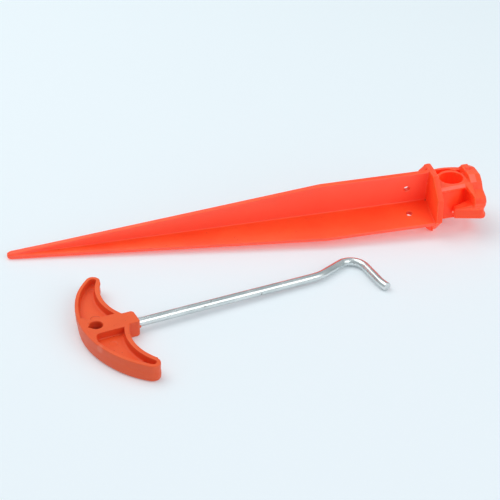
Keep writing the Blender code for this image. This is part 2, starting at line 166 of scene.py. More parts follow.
def carve(me, cutters):
    """Mesh minus the cutter meshes, exact."""
    ob = add_object("carve_" + me.name, me)
    tools = []
    for cutter in cutters:
        tool = add_object("tool_" + cutter.name, cutter)
        tools.append(tool)
        cut = ob.modifiers.new("cut", 'BOOLEAN')
        cut.object = tool
        cut.operation = 'DIFFERENCE'
        cut.solver = 'EXACT'
    out = baked(ob)
    for temporary in tools + [ob]:
        bpy.data.objects.remove(temporary, do_unlink=True)
    return out


def keep_largest_island(me):
    bm = bmesh.new()
    bm.from_mesh(me)
    seen, islands = set(), []
    for first in bm.verts:
        if first in seen:
            continue
        seen.add(first)
        stack, island = [first], []
        while stack:
            vert = stack.pop()
            island.append(vert)
            for edge in vert.link_edges:
                other = edge.other_vert(vert)
                if other not in seen:
                    seen.add(other)
                    stack.append(other)
        islands.append(island)
    islands.sort(key=len)
    loose = [vert for island in islands[:-1] for vert in island]
    if loose:
        bmesh.ops.delete(bm, geom=loose, context='VERTS')
    bm.to_mesh(me)
    bm.free()


def fuse(name, meshes, voxel):
    """One skin round all the overlapping solids, with its edges eased."""
    bm = bmesh.new()
    for me in meshes:
        bm.from_mesh(me)
    bmesh.ops.triangulate(bm, faces=bm.faces)
    me = bpy.data.meshes.new(name)
    bm.to_mesh(me)
    bm.free()
    ob = add_object(name, me)
    remesh = ob.modifiers.new("skin", 'REMESH')
    remesh.mode = 'VOXEL'
    remesh.voxel_size = voxel * MM
    remesh.adaptivity = 0.0
    ease = ob.modifiers.new("ease", 'SMOOTH')
    ease.factor = 0.5
    ease.iterations = 3
    out = baked(ob)
    bpy.data.objects.remove(ob, do_unlink=True)
    keep_largest_island(out)
    return out


# ------------------------------------------------------------------ stake
HEAD = 286.0                                     # s where the blade meets the head
TWIST = Matrix.Rotation(math.radians(12.8), 4, 'X')   # the blade's turn against the head
CU, CV = 4.2, 4.2                                # u, v of the head's axis
WALL = 3.4                                       # thickness of the blade's two legs
WIDTH, HEIGHT = 24.0, 24.9                       # the legs' reach at full size
TIP = 0.6                                        # both legs' reach at the tip
TAPER_END = 210.0                                # s where the legs reach full size
FLANGE_R = 22.95
CAP_HALF = 18.1                                  # half the driving cap's width
EYE_S, EYE_Y = HEAD + 16.2, -4.7
EIGHTH = math.pi / 8


def angle_section(width, height, edge=0.7, fillet=0.45):
    """L-shaped (u, v) outline with chamfered edges and a filleted inner corner."""
    w, h, t, f = width, height, WALL, fillet
    heel = 1.2
    return [(-t + heel, -t), (w - edge, -t), (w, -t + edge), (w, -edge * 0.6),
            (w - edge * 0.6, 0.0), (f, 0.0), (f * 0.5, f * 0.134), (f * 0.134, f * 0.5),
            (0.0, f), (0.0, h - edge * 0.6), (-edge * 0.6, h), (-t + edge, h),
            (-t, h - edge), (-t, -t + heel)]


def blade():
    tip = angle_section(TIP, TIP, edge=0.15, fillet=0.1)
    # s, size of the tip section
    point = [(-0.65, 0.36), (-0.40, 0.60), (0.05, 0.78), (0.8, 0.91)]
    near = 0.12                                  # share of the taper at its first full edge
    full = angle_section(WIDTH, HEIGHT)
    steps = [(s, scaled(tip, size, (-1.4, -1.4))) for s, size in point]
    steps += [(2.0, angle_section(0.8, 0.8, edge=0.2, fillet=0.1)),
              (TAPER_END * near, angle_section(TIP + (WIDTH - TIP) * near,
                                               TIP + (HEIGHT - TIP) * near,
                                               edge=0.6, fillet=0.4)),
              (TAPER_END, full), (HEAD + 0.4, full)]
    hole_r = 2.1
    holes = [round_bar("hole_up", hole_r, (271.3, -4.0, 12.1), (271.3, 8.0, 12.1), 32,
                       matrix=TWIST),
             round_bar("hole_low", hole_r, (271.0, -11.5, -8.0), (271.0, -11.5, 4.0), 32,
                       matrix=TWIST)]
    return carve(across("blade", steps, matrix=TWIST), holes)


def flange():
    """Eight-sided stop flange with a faint draft on its rim."""
    def octagon(radius):
        angles = [math.radians(22.5 + 45 * i) for i in range(8)]
        return [(CU + radius * math.cos(a), CV + radius * math.sin(a)) for a in angles]
    sides = [(0.0, 22.75), (2.0, 23.0), (4.1, 22.75)]        # s, radius
    return across("flange", [(s, octagon(radius)) for s, radius in sides], HEAD)


def gusset(name, u_range, foot, top, run, fill):
    """Rib from the blade to the flange, v from foot to top; fill is its height on the way."""
    rise = top - foot
    base = foot - math.copysign(2.0, rise)
    profile = [(-run, foot), (-run * 0.64, foot + rise * fill[0]),
               (-run * 0.30, foot + rise * fill[1]), (-0.1, top), (1.0, top),
               (1.0, base), (-run, base)]
    return loft(name, [[(HEAD + s, -u, v) for s, v in profile] for u in u_range])


def gussets():
    apothem = FLANGE_R * math.cos(EIGHTH)
    return [gusset("gusset_up", (-5.0, 0.4), foot=20.9, top=CV + apothem - 0.5,
                   run=4.4, fill=(0.31, 0.64)),
            gusset("gusset_low", (9.6, 16.2), foot=-7.4, top=CV - apothem + 0.8,
                   run=6.6, fill=(0.62, 0.90))]


def neck():
    """Block, tube round the upright eye and top plate, all pierced by the eye."""
    eye = round_bar("eye", 8.1, (EYE_S, EYE_Y, -16.0), (EYE_S, EYE_Y, 24.0), 96)
    block = head_hull("block", [
        (2.5, 3.2, -9.6), (27.0, 3.2, -9.6), (2.5, 3.2, 16.8), (27.0, 3.2, 16.8),
        (2.5, 13.2, -9.6), (17.0, 13.2, -9.6), (2.5, 17.0, 15.2), (20.0, 15.4, 15.2),
        (27.0, 6.5, -9.6), (27.0, 6.5, 16.8)])
    tube = round_bar("tube", 9.3, (EYE_S, -4.2, -8.9), (EYE_S, -4.2, 17.7), 96)
    plate = head_hull("plate", [
        (2.5, 17.5, 18.0), (27.0, 15.0, 18.0), (27.0, 2.2, 18.0), (2.5, 2.2, 18.0),
        (2.5, 19.3, 15.9), (27.0, 16.8, 15.9), (2.5, 18.6, 14.6), (27.0, 16.1, 14.6),
        (27.0, 2.2, 14.0), (2.5, 2.2, 14.0)])
    relief = round_bar("relief", 9.2, (EYE_S, EYE_Y, 17.4), (EYE_S, EYE_Y, 19.0), 96,
                       end_radius=10.4)
    return [carve(me, [eye, relief]) for me in (block, tube, plate)]


def cord_loop():
    """Bowed strip behind the eye; its inner side drops away towards the cap."""
    count = 24
    outer, inner = [], []
    for i in range(count + 1):
        g = i / count
        x = HEAD + 2.5 + 24.5 * g
        y = 7.8 + 2.2 * (1.0 - (2.0 * g - 1.0) ** 2) - 0.8 * max(0.0, g - 0.35)
        outer.append((x, y))
        if g < 0.78:
            inner.append((x, y - 1.9 - 2.6 * max(0.0, (g - 0.62) / 0.16) ** 1.5))
        else:
            inner.append((x, 4.0))
    ring = outer + inner[::-1]
    return upward("loop", [(9.5, ring), (17.6, ring)])


def cap():
    """Driving cap: rim with a dimple, domed end and the cheek up to the neck plate."""
    k = CAP_HALF * math.tan(EIGHTH)              # half a side of the octagon
    # u, v outlines: the rim, then the end, which is a little smaller at the back
    rim = [(CU - CAP_HALF, CV + k), (CU - CAP_HALF, CV - k),
           (CU - k, CV - 16.9), (CU + k - 1.0, CV - 16.9),
           (19.6, -6.4), (21.6, -5.9), (22.4, -2.6), (23.2, 1.2), (26.8, 4.8), (28.0, 8.4),
           (27.0, 11.2), (26.2, 12.0), (19.0, 14.4), (16.3, 19.1), (11.4, CV + 18.2),
           (CU - k + 0.6, CV + CAP_HALF)]
    end = [(CU - 16.5, CV + k - 0.8), (CU - 16.5, CV - k + 0.8),
           (CU - k + 0.8, CV - 16.6), (CU + k - 1.2, CV - 16.6),
           (19.6, -6.4), (22.6, -5.9), (24.0, -2.6), (24.7, 1.2), (27.0, 4.8), (28.0, 8.4),
           (26.6, 11.2), (24.8, 12.1), (19.2, 14.4), (16.5, 18.8),
           (12.0, CV + 18.0), (1.6, CV + 17.8), (-5.2, 19.6)]
    rim_part = across("cap_rim", [(25.5, scaled(rim, 0.985, (CU + 3, CV))), (26.2, rim),
                                  (30.4, rim)], HEAD)
    dimple = round_bar("dimple", 2.3, (HEAD + 28.7, -3.6, 21.6), (HEAD + 28.7, -3.6, 24.5),
                       32, end_radius=3.1)
    dome = [(33.1, 0.988), (33.75, 0.965), (34.25, 0.925), (34.55, 0.82), (34.7, 0.5)]
    end_steps = [(29.6, end), (32.2, end)]
    end_steps += [(s, scaled(end, size, (CU + 2.0, CV))) for s, size in dome]
    cheek = head_hull("cheek", [
        (22.0, 11.5, 17.9), (22.0, 15.4, 17.9), (22.4, 11.5, 14.5), (22.4, 15.4, 14.5),
        (26.5, 11.5, 18.6), (26.5, 16.2, 18.6), (24.5, 21.1, 14.8), (27.0, 21.1, 14.2),
        (27.0, 26.6, 12.0), (26.5, 11.5, 9.0), (26.2, 26.6, 11.9), (26.2, 26.3, 10.4),
        (27.0, 26.4, 10.2)])
    return [carve(rim_part, [dimple]), across("cap_end", end_steps, HEAD), cheek]


def rope_hook():
    """Arm in front of the neck, merging into the cap's lower front lobe."""
    # s from the head, u
    low = [(14.4, 19.9), (15.0, 15.6), (35.0, 16.5), (36.2, 19.2), (35.9, 22.2),
           (34.6, 24.3), (32.2, 24.9)]
    high = [(14.4, 19.9), (15.0, 15.6), (33.9, 16.5), (34.4, 19.2), (34.1, 22.4),
            (33.4, 24.6), (32.0, 25.1)]
    levels = [(-6.0, scaled(low, 0.975, (24.0, 20.0))), (-5.5, low), (-3.4, low),
              (-2.2, high), (1.8, high)]
    arm = upward("arm", [(z, [(HEAD + s, -u) for s, u in pts]) for z, pts in levels])
    root = head_hull("arm_root", [
        (16.2, 15.9, 0.8), (16.2, 20.4, 0.8), (16.2, 15.9, 1.8), (16.2, 20.4, 1.8),
        (26.6, 26.1, 6.2), (27.9, 26.8, 6.5), (27.9, 16.0, 6.1), (30.0, 27.4, 6.0),
        (27.5, 15.9, 0.8), (27.0, 23.6, 0.8), (30.5, 24.7, 0.8)])
    return [arm, root, ball("nub", 1.25, (HEAD + 14.1, -17.6, -2.2), (0.8, 0.9, 1.5))]


def stake_mesh():
    parts = [blade(), flange(), *gussets(), *neck(), cord_loop(), *cap(), *rope_hook()]
    return fuse("tent_stake_moulding", parts, voxel=0.36)


# ------------------------------------------------------------------ puller grip
# Outline: one large arc on the -x side, a round horn at each end, two finger arcs on +x.
ARC_X, ARC_R = 32.3, 67.8                        # large arc, centred on y = 0
FINGER_X, FINGER_Y, FINGER_R = 23.6, 24.0, 36.7
HORN_X, HORN_Y, HORN_R = -10.4, 46.3, 4.5
OUTLINE_TURN = math.radians(1.0)
THICK = 11.2
WEB = 1.8                                        # floor left between the pockets
WEB_TOP, WEB_LOW = (THICK + WEB) * 0.5, (THICK - WEB) * 0.5
HANG_X, HANG_Y, HANG_R = -26.3, 0.8, 4.0
# round marks in the pocket floors: x, y, radius, darkness of the ring
EJECT = [(-13.6, 41.9, 2.0, 0.45), (-22.3, 12.3, 3.2, 0.60),
         (-21.7, -15.1, 2.5, 0.40), (-13.0, -40.5, 2.0, 0.35)]


# side is 1 for the +y half and -1 for the -y half
def horn_arc(side, radius, count):
    start = math.atan2(side * HORN_Y, HORN_X - ARC_X)
    stop = math.atan2(side * (HORN_Y - FINGER_Y), HORN_X - FINGER_X) + math.pi
    if side > 0:
        stop -= 2 * math.pi
    angles = [start + (stop - start) * i / count for i in range(count + 1)]
    return [(HORN_X + radius * math.cos(a), side * HORN_Y + radius * math.sin(a))
            for a in angles]


def large_arc(side, inset, count, lean=0.0):
    """From the horn to y = 0, swelling into the horn; lean cuts the rim unevenly."""
    start = math.atan2(side * HORN_Y, HORN_X - ARC_X)
    if start < 0:
        start += 2 * math.pi
    horn_reach = math.hypot(HORN_X - ARC_X, HORN_Y) + HORN_R
    out = []
    for i in range(count + 1):
        g = i / count
        a = start + (math.pi - start) * g
        r = (ARC_R + (horn_reach - ARC_R) * (1 - g) ** 2) - inset
        y = r * math.sin(a)
        r += (0.45 * math.exp(-((y - 37.0) / 10.0) ** 2)
              - lean * math.exp(-((y - 24.0) / 20.0) ** 2)
              + 0.35 * lean * math.exp(-((y + 42.0) / 12.0) ** 2))
        out.append((ARC_X + r * math.cos(a), r * math.sin(a)))
    return out


def finger_arc(side, inset, count, stop_y):
    """From the horn to the given distance from y = 0."""
    horn_reach = math.hypot(HORN_X - FINGER_X, HORN_Y - FINGER_Y) - HORN_R
    start = math.atan2(HORN_Y - FINGER_Y, HORN_X - FINGER_X)
    stop = math.pi + math.asin((FINGER_Y - stop_y) / FINGER_R)
    out = []
    for i in range(count + 1):
        g = i / count
        a = start + (stop - start) * g
        r = (FINGER_R + (horn_reach - FINGER_R) * (1 - g) ** 2) + inset
        out.append((FINGER_X + r * math.cos(a), side * (FINGER_Y + r * math.sin(a))))
    return out


def turned(pts):
    c, s = math.cos(OUTLINE_TURN), math.sin(OUTLINE_TURN)
    return [(x * c - y * s, x * s + y * c) for x, y in pts]


def crescent(back, tip, inside, lean):
    """Outline with its own inset on the large arc, the horns and the finger arcs."""
    pts = large_arc(-1, back, 40, lean)
    pts += large_arc(1, back, 40, lean)[::-1][1:]
    pts += horn_arc(1, HORN_R - tip, 16)[1:]
    pts += finger_arc(1, inside, 32, 5.6)[1:]
    pts += finger_arc(-1, inside, 32, 5.6)[::-1]
    pts += horn_arc(-1, HORN_R - tip, 16)[::-1][1:-1]
    return turned(pts)


def pocket(side, wall, shrink=0.0):
    """Evenly spaced outline inside one half of the grip, a wall away from its edge."""
    inner_y = 7.5 + shrink
    arc_stop = inner_y + (3.2 if side > 0 else 7.0)
    ring = [p for p in large_arc(side, wall, 48) if abs(p[1]) > arc_stop][::-1]
    ring += horn_arc(side, max(HORN_R - wall, 0.6), 10)[1:-1]
    ring += [p for p in finger_arc(side, wall, 40, inner_y) if abs(p[1]) > inner_y]
    ring.append((-11.4 - shrink, side * inner_y))
    corner_r = 3.4
    corner_x = (-30.0 if side > 0 else -30.7) + shrink + corner_r
    corner_y = inner_y + corner_r
    for i in range(9):
        a = math.radians(-90.0 - 10.0 * i)
        ring.append((corner_x + corner_r * math.cos(a),
                     side * (corner_y + corner_r * math.sin(a))))
    ring = turned(ring)
    return evenly(ring + ring[:1], 220)[:-1]


def pocket_cutters(side):
    """The upper pocket with a rounded floor edge, and the one in the underside."""
    floor_r = 1.0
    levels = []
    for k in range(6):
        a = math.radians(90.0 * k / 5)
        left = 1 - math.sin(a)
        levels.append((WEB_TOP + floor_r * (1 - math.cos(a)),
                       pocket(side, 2.65 + floor_r * left, 0.35 * left + 0.1)))
    levels += [(THICK - 0.35, pocket(side, 2.4)), (THICK + 0.3, pocket(side, 2.05)),
               (THICK + 2.0, pocket(side, 1.95))]
    under = [(-2.0, pocket(side, 3.3)), (0.3, pocket(side, 3.3)),
             (WEB_LOW - 0.4, pocket(side, 3.5, 0.3)), (WEB_LOW, pocket(side, 3.9, 0.6))]
    return [upward("pocket", levels), upward("under", under)]


def grip_body():
    # z, insets on the large arc, horns and finger arcs, lean
    levels = [(0.0, 0.75, 0.6, 0.6, 1.3), (0.35, 0.3, 0.15, 0.2, 1.3),
              (0.9, 0.05, -0.1, 0.0, 1.25), (3.0, -0.1, -0.3, -0.15, 1.05),
              (5.0, -0.05, -0.15, -0.1, 0.85), (5.6, 0.0, 0.0, 0.0, 0.55),
              (6.2, 0.05, 0.05, -0.1, 0.2), (9.6, 0.0, -0.05, -0.7, 0.0),
              (10.7, 0.05, 0.0, -0.7, 0.0), (11.05, 0.2, 0.15, -0.5, 0.0),
              (11.2, 0.55, 0.4, -0.15, 0.0)]
    cutters = pocket_cutters(1) + pocket_cutters(-1)
    for x, y, radius, _ in EJECT:
        cutters.append(round_bar("eject", radius, (x, y, WEB_TOP - 0.16),
                                 (x, y, WEB_TOP + 0.9), 40))
    cutters.append(round_bar("hang", HANG_R, (HANG_X, HANG_Y, -2.0),
                             (HANG_X, HANG_Y, THICK + 2.0), 64))
    cutters.append(round_bar("hang_flare", HANG_R, (HANG_X, HANG_Y, THICK - 0.5),
                             (HANG_X, HANG_Y, THICK + 0.5), 64, end_radius=4.9))
    cutters.append(round_bar("hang_nick", 1.5, (-29.9, 0.3, THICK - 2.4),
                             (-29.9, 0.3, THICK + 2.0), 24))
    return carve(upward("grip", [(z, crescent(*insets)) for z, *insets in levels]), cutters)


def grip_mesh():
    body = grip_body()
    outline = [(-16.0, -6.0), (-1.9, -6.0), (-0.9, -5.6), (-0.4, -4.6), (-0.4, 4.6),
               (-0.9, 5.6), (-1.9, 6.0), (-16.0, 6.0)]
    foot = (-16.0, 0.0)
    boss = upward("boss", [(0.15, scaled(outline, 0.97, foot)), (0.8, outline),
                           (10.5, outline), (11.17, scaled(outline, 0.96, foot))])
    flash = ball("flash", 1.05, (0.1, -2.5, 4.4), (1.3, 1.0, 1.0))
    flash2 = ball("flash2", 0.7, (-0.7, 3.0, 6.4), (1.0, 0.9, 0.7))
    socket = round_bar("socket", 3.2, (-20.9, 0.0, THICK * 0.5), (2.0, 0.0, THICK * 0.5))
    parts = [carve(body, [socket]), carve(boss, [socket]), flash, flash2]
    return fuse("puller_grip", parts, voxel=0.26)


# ------------------------------------------------------------------ wire
WIRE_R = 2.9
# corner x, y and the radius of the bend there
WIRE = [((-20.5, 0.0), 0.0), ((126.6, 0.4), 27.5), ((151.4, 9.6), 10.0),
        ((160.2, 3.3), 10.0), ((159.4, -22.4), 22.5), ((160.5, -28.1), 0.0)]
# x, y where the bends are a touch flattened, and how far that reaches
PINCHES = [(130.0, 1.4), (151.6, 7.8), (158.2, 3.3), (159.2, -20.0)]
PINCH_REACH = 9.0
# hook end, chamfered and slightly crowned: step past the end, share of the radius
WIRE_END = [(-0.45, 1.0), (-0.12, 0.965), (0.0, 0.86), (0.08, 0.5)]


def bend(before, corner, after, radius):
    """Arc that rounds a corner, from one leg to the other."""
    leg1, leg2 = (before - corner).normalized(), (after - corner).normalized()
    half = leg1.angle(leg2) / 2
    cut = min(radius / math.tan(half), 0.49 * (before - corner).length,
              0.49 * (after - corner).length)
    radius = cut * math.tan(half)
    centre = corner + (leg1 + leg2).normalized() * (radius / math.sin(half))
    spoke = (corner + leg1 * cut) - centre
    sweep = spoke.angle_signed((corner + leg2 * cut) - centre)
    count = max(3, int(abs(math.degrees(sweep)) / 2.5))
    out = []
    for j in range(count + 1):
        t = -sweep * j / count
        out.append(centre + Vector((spoke.x * math.cos(t) - spoke.y * math.sin(t),
                                    spoke.x * math.sin(t) + spoke.y * math.cos(t))))
    return out


def wire_path():
    """Centre line in even steps, eased."""
    corners = [Vector(at) for at, _ in WIRE]
    line = [corners[0]]
    for i in range(1, len(WIRE) - 1):
        line += bend(corners[i - 1], corners[i], corners[i + 1], WIRE[i][1])
    path = evenly(line + [corners[-1]])
    for _ in range(2):
        eased = [(a + b * 2 + c) / 4 for a, b, c in zip(path, path[1:], path[2:])]
        path = [path[0]] + eased + [path[-1]]
    return path


def wire_mesh():
    path = wire_path()
    spine = []
    for i, at in enumerate(path):
        ahead = path[min(len(path) - 1, i + 1)] - path[max(0, i - 1)]
        spine.append((at, ahead.normalized()))
    first, first_way = spine[0]
    last, last_way = spine[-1]
    # stations of (place, direction, radius)
    stations = [(first, first_way, WIRE_R * 0.9), (first + first_way * 0.3, first_way, WIRE_R)]
    stations += [(at, way, WIRE_R) for at, way in spine[1:-1]]
    stations += [(last + last_way * step, last_way, WIRE_R * size) for step, size in WIRE_END]

    segments = 48
    bm = bmesh.new()
    # "wire" holds x along the wire, y and z on the round, in metres
    layer = bm.verts.layers.float_vector.new("wire")
    rings, along, previous = [], 0.0, first
    for at, way, radius in stations:
        along += (at - previous).length
        previous = at
        side = Vector((-way.y, way.x))
        pinch = max(0.0, *(1.0 - (at - Vector(p)).length / PINCH_REACH for p in PINCHES))
        ring = []
        for k in range(segments):
            a = 2 * math.pi * k / segments
            ripple = noise.noise(Vector((along * 0.06, math.cos(a), math.sin(a))))
            r = radius * (1.0 + 0.012 * ripple - 0.018 * pinch * abs(math.cos(a)))
            vert = bm.verts.new(((at.x + side.x * r * math.cos(a)) * MM,
                                 (at.y + side.y * r * math.cos(a)) * MM,
                                 (THICK * 0.5 + r * math.sin(a)) * MM))
            vert[layer] = (along * MM, WIRE_R * math.cos(a) * MM, WIRE_R * math.sin(a) * MM)
            ring.append(vert)
        rings.append(ring)
    skin(bm, rings)
    return solid(bm, "puller_wire")


# ------------------------------------------------------------------ node helpers
BLACK, WHITE = (0, 0, 0), (1, 1, 1)


def fill_ramp(color_ramp, stops):
    """Sets the stops of a ramp: (position, RGB)."""
    elements = color_ramp.elements
    while len(elements) < len(stops):
        elements.new(0.5)
    for element, (position, colour) in zip(elements, stops):
        element.position = position
        element.color = (*colour, 1.0)


def dimmed(colour, red, rest):
    return (colour[0] * red, colour[1] * rest, colour[2] * rest)


class Nodes:
    """One material's nodes; colour is the socket of the base colour as built so far."""

    def __init__(self, name):
        self.mat = bpy.data.materials.new(name)
        self.mat.use_nodes = True
        self.tree = self.mat.node_tree
        self.bsdf = self.tree.nodes["Principled BSDF"]

    def new(self, kind):
        return self.tree.nodes.new("ShaderNode" + kind)

    def feed(self, socket, value):
        """Links another socket, or sets a number, vector or RGB colour."""
        if isinstance(value, bpy.types.NodeSocket):
            self.tree.links.new(value, socket)
        elif isinstance(value, tuple) and socket.type == 'RGBA':
            socket.default_value = (*value, 1.0)
        else:
            socket.default_value = value

    def set(self, name, value):
        self.feed(self.bsdf.inputs[name], value)

    def math(self, operation, a, b=None, clamp=False):
        node = self.new("Math")
        node.operation = operation
        node.use_clamp = clamp
        self.feed(node.inputs[0], a)
        if b is not None:
            self.feed(node.inputs[1], b)
        return node.outputs[0]

    def times(self, a, b, clamp=False):
        return self.math('MULTIPLY', a, b, clamp)

    def plus(self, a, b, clamp=False):
        return self.math('ADD', a, b, clamp)

    def minus(self, a, b, clamp=False):
        return self.math('SUBTRACT', a, b, clamp)

    def swing(self, value, amount):
        """Value centred on 0.5 turned into a swing about 0."""
        return self.times(self.minus(value, 0.5), amount)

    def vector_math(self, operation, a, b):
        node = self.new("VectorMath")
        node.operation = operation
        self.feed(node.inputs[0], a)
        self.feed(node.inputs[1], b)
        return node.outputs["Value"]

    def distance(self, vec, at):
        return self.vector_math('DISTANCE', vec, tuple(x * MM for x in at))

    def ramp(self, value, stops):
        node = self.new("ValToRGB")
        fill_ramp(node.color_ramp, stops)
        self.feed(node.inputs[0], value)
        return node.outputs[0]

    def rise(self, value, low, high):
        """0 below low, 1 above high."""
        return self.ramp(value, [(low, BLACK), (high, WHITE)])

    def noise(self, vec, scale=1.0, detail=2.0, rough=0.5, distort=0.0, stretch=None):
        if stretch is not None:
            mapping = self.new("Mapping")
            self.feed(mapping.inputs["Scale"], stretch)
            self.feed(mapping.inputs["Vector"], vec)
            vec = mapping.outputs[0]
        node = self.new("TexNoise")
        for name, value in (("Scale", scale), ("Detail", detail), ("Roughness", rough),
                            ("Distortion", distort), ("Vector", vec)):
            self.feed(node.inputs[name], value)
        return node.outputs["Fac"]

    def mix(self, factor, a, b):
        node = self.new("Mix")
        node.data_type = 'RGBA'
        for i, value in ((0, factor), (6, a), (7, b)):
            self.feed(node.inputs[i], value)
        return node.outputs[2]

    def tint(self, colour, mask, amount):
        """Lays a colour over the base colour where the mask is 1."""
        self.colour = self.mix(self.times(mask, amount), self.colour, colour)

    def split(self, vec):
        node = self.new("SeparateXYZ")
        self.feed(node.inputs[0], vec)
        return node.outputs

    def coords(self, inverse=None):
        """Object coordinates in metres, in a piece's own axes if its inverse is given."""
        own = self.new("TexCoord").outputs["Object"]
        if inverse is None:
            return own
        places = [self.plus(self.vector_math('DOT_PRODUCT', own, (row[0], row[1], row[2])),
                            float(row[3])) for row in inverse[:3]]
        joined = self.new("CombineXYZ")
        for socket, place_on_axis in zip(joined.inputs, places):
            self.feed(socket, place_on_axis)
        return joined.outputs[0]

    def bump(self, parts):
        """Stacked bumps: (height, distance in metres, strength)."""
        last = None
        for height, reach, strength in parts:
            node = self.new("Bump")
            self.feed(node.inputs["Distance"], reach)
            self.feed(node.inputs["Strength"], strength)
            self.feed(node.inputs["Height"], height)
            if last is not None:
                self.feed(node.inputs["Normal"], last)
            last = node.outputs["Normal"]
        self.set("Normal", last)


class Plastic(Nodes):
    """Moulded plastic: flow marks, painted highlight on sharp edges, painted shade in grooves,
    scratches and specks of dirt.
    """

    def __init__(self, name, inverse, base, deep, pale, rim, edge_glow_amount, flow_stretch):
        super().__init__(name)
        self.deep = deep
        self.vec = vec = self.coords(inverse)
        self.flow = self.noise(vec, detail=5.0, rough=0.55, distort=0.6, stretch=flow_stretch)
        self.cloud = self.noise(vec, scale=38.0, detail=3.0)
        self.fine = self.noise(vec, scale=1500.0, rough=0.6)
        self.finest = self.noise(vec, scale=5200.0)
        self.colour = self.mix(self.rise(self.flow, 0.32, 0.72), deep, base)
        self.tint(pale, self.rise(self.cloud, 0.42, 0.75), 0.35)
        # painted highlight on sharp edges, for light that shines through thin plastic, and
        # painted shade in grooves
        point = self.new("NewGeometry").outputs["Pointiness"]
        self.tint(rim, self.rise(point, 0.515, 0.60), edge_glow_amount)
        groove_shade = self.ramp(point, [(0.40, WHITE), (0.485, BLACK)])
        self.tint(dimmed(deep, 0.72, 0.72), groove_shade, 0.35)
        # short rubbed scratches, in patches
        lines = self.noise(vec, rough=0.4, distort=0.2, stretch=(90.0, 900.0, 900.0))
        patches = self.rise(self.noise(vec, scale=60.0), 0.56, 0.66)
        self.scratch = self.times(self.rise(lines, 0.66, 0.70), patches)
        self.tint(pale, self.scratch, 0.25)
        specks = self.noise(vec, scale=620.0, detail=1.0, rough=0.3)
        self.tint((0.22, 0.03, 0.015), self.rise(specks, 0.745, 0.765), 0.45)
        self.normal = self.new("NewGeometry").outputs["Normal"]

    def facing(self, axis, low, high):
        """1 on faces that look along the scene axis."""
        return self.rise(self.vector_math('DOT_PRODUCT', self.normal, axis), low, high)

    def darken_hollows(self, amount):
        # painted shade: the colour darkens where ambient occlusion finds hollows
        hollow = self.new("AmbientOcclusion")
        hollow.samples = 8
        hollow.only_local = True
        hollow.inputs["Distance"].default_value = 0.014
        self.tint(dimmed(self.deep, 0.80, 0.25),
                  self.minus(1.0, hollow.outputs["AO"], clamp=True), amount)

    def rings(self, marks, width):
        """Dark rings, patchy along their length: ((x, y, z), radius, strength)."""
        total = None
        for at, radius, strength in marks:
            gap = self.minus(self.distance(self.vec, at), radius * MM)
            share = self.math('DIVIDE', self.math('ABSOLUTE', gap), width * MM)
            one = self.times(self.minus(1.0, share, clamp=True), strength)
            total = one if total is None else self.math('MAXIMUM', total, one)
        ring_patchiness = self.ramp(self.cloud, [(0.38, (0.25, 0.25, 0.25)), (0.62, WHITE)])
        self.colour = self.mix(self.times(total, ring_patchiness), self.colour,
                               dimmed(self.deep, 0.35, 0.35))

    def spots(self, table):
        """Soft round spots of colour, some real specks and some painted highlight or shade: ((x,
        y, z), radius, strength, colour).
        """
        for at, radius, strength, colour in table:
            away = self.distance(self.vec, at)
            fade = self.new("MapRange")
            self.feed(fade.inputs["From Min"], radius * MM)
            self.feed(fade.inputs["From Max"], radius * MM * 0.5)
            self.feed(fade.inputs["Value"], away)
            self.tint(colour, fade.outputs[0], strength)

    def surface(self, rough, subsurface, grain):
        self.set("Base Color", self.colour)
        rough = self.plus(self.swing(self.flow, 0.22), rough)
        rough = self.plus(rough, self.swing(self.fine, 0.12))
        self.set("Roughness", self.plus(rough, self.times(self.scratch, 0.12), clamp=True))
        self.bump([(self.cloud, 0.00022, 0.35), (self.fine, 0.00005 * grain, 0.5),
                   (self.finest, 0.00002 * grain, 0.5), (self.scratch, -0.00003, 0.5)])
        self.set("IOR", 1.48)
        self.set("Specular IOR Level", 0.46)
        self.set("Subsurface Weight", subsurface)
        self.set("Subsurface Radius", (1.0, 0.25, 0.12))
        self.set("Subsurface Scale", 0.0016)
        # painted glow: the plastic emits red light of its own
        self.set("Emission Color", (1.0, 0.035, 0.012))

    def underside(self, amount):
        """Painted glow on downward faces, standing in for light that has come through the
        moulding and leaves on its underside.
        """
        return self.times(self.facing((0.0, 0.0, -1.0), 0.15, 0.60), amount)


# ------------------------------------------------------------------ materials
HIGHLIGHT = (1.0, 0.18, 0.065)
HOLE_SHADE = (0.50, 0.010, 0.004)
# (x, y, z), radius, strength, colour
STAKE_SPOTS = [
    ((HEAD - 0.3, -1.1, 0.2), 0.9, 0.55, (0.20, 0.02, 0.01)),
    ((HEAD - 0.4, -2.0, -1.9), 0.6, 0.6, (0.12, 0.02, 0.015)),
    ((HEAD + 20.0, -19.0, 1.8), 0.6, 0.35, (0.35, 0.03, 0.02)),
    # painted shade in the dimple on the cap
    ((HEAD + 28.7, -3.6, 21.7), 3.2, 0.65, (0.88, 0.040, 0.010)),
    # painted highlight on the nub of the rope hook
    ((HEAD + 13.5, -18.4, -1.5), 0.9, 0.8, (1.0, 0.60, 0.52)),
    ((HEAD + 17.2, -17.9, 3.3), 3.4, 0.6, HIGHLIGHT),
    ((HEAD + 20.2, -18.3, 3.8), 3.6, 0.6, HIGHLIGHT),
    ((271.3, -1.0, 12.2), 2.95, 0.85, HOLE_SHADE),
    ((271.0, -10.84, -4.2), 2.95, 0.85, HOLE_SHADE)]
GRIP_SPOTS = [
    ((-24.0, 2.6, THICK), 1.0, 0.4, (0.95, 0.20, 0.10)),
    ((-31.6, -20.0, 9.0), 3.0, 0.25, (0.9, 0.35, 0.25)),
    # painted shade deep in the hanging hole
    ((HANG_X, HANG_Y, 2.2), 6.6, 0.75, (0.22, 0.02, 0.008))]


